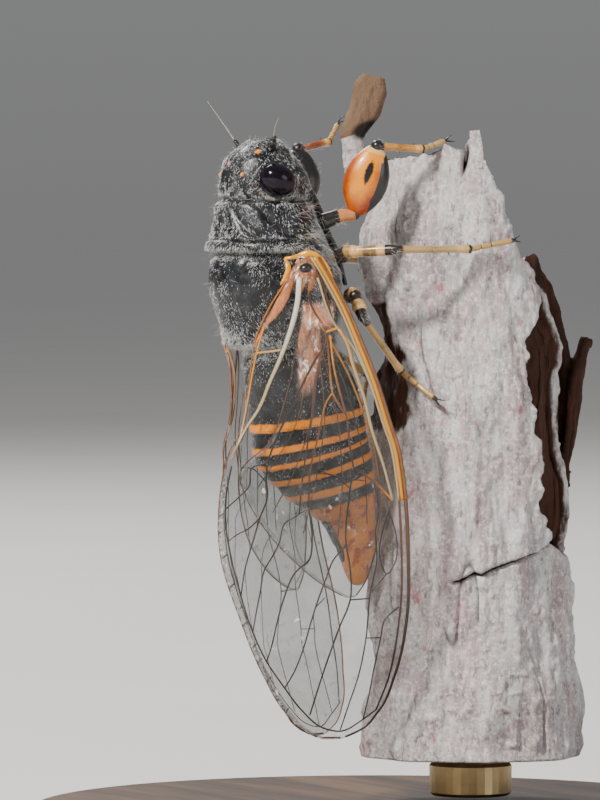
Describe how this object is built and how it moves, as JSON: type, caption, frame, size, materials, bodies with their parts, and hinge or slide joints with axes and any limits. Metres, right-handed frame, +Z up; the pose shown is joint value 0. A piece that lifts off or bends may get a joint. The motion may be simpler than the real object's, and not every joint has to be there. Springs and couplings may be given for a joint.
{
  "type": "cicada on a branch perch",
  "caption": "Life-size still model of a small black cicada with orange-banded abdomen and clear veined wings, clinging head-up to a broken branch stub on a plain round stand.",
  "frame": {"origin": "centre of the underside of the round stand base, on the surface it rests on", "axes": "+Z up, toward the insect's head; the insect's back faces -Y, its right side is +X, and the branch stands at +Y"},
  "size_m": [0.034, 0.034, 0.0372],
  "materials": {
    "black_cuticle": "satin black cuticle with short silvery hair",
    "eye": "glossy black-violet",
    "wing_membrane": "clear smoky membrane with orange and dark brown veins",
    "amber_cuticle": "glossy amber",
    "straw_cuticle": "satin tan with brown marks",
    "bark": "dry grey bark with pale lichen",
    "stand_wood": "dark satin"
  },
  "bodies": {
    "root": {"head": "black_cuticle", "pronotum": "black_cuticle", "thorax": "black_cuticle", "abdomen": "black_cuticle", "rostrum": "black_cuticle", "antenna_left": "black_cuticle", "antenna_right": "black_cuticle", "eye_left": "eye", "eye_right": "eye", "forewing_left": "wing_membrane", "forewing_right": "wing_membrane", "hindwing_left": "wing_membrane", "hindwing_right": "wing_membrane", "leg_fore_left_femur": "amber_cuticle", "leg_fore_left_tibia": "amber_cuticle", "leg_fore_left_tarsus": "amber_cuticle", "leg_fore_right_femur": "amber_cuticle", "leg_fore_right_tibia": "amber_cuticle", "leg_fore_right_tarsus": "amber_cuticle", "leg_mid_left_femur": "straw_cuticle", "leg_mid_left_tibia": "straw_cuticle", "leg_mid_left_tarsus": "straw_cuticle", "leg_mid_right_femur": "straw_cuticle", "leg_mid_right_tibia": "straw_cuticle", "leg_mid_right_tarsus": "straw_cuticle", "leg_hind_left_femur": "straw_cuticle", "leg_hind_left_tibia": "straw_cuticle", "leg_hind_left_tarsus": "straw_cuticle", "leg_hind_right_femur": "straw_cuticle", "leg_hind_right_tibia": "straw_cuticle", "leg_hind_right_tarsus": "straw_cuticle", "perch": "bark", "stand_rod": "stand_wood", "stand_base": "stand_wood"}
  },
  "joints": []
}
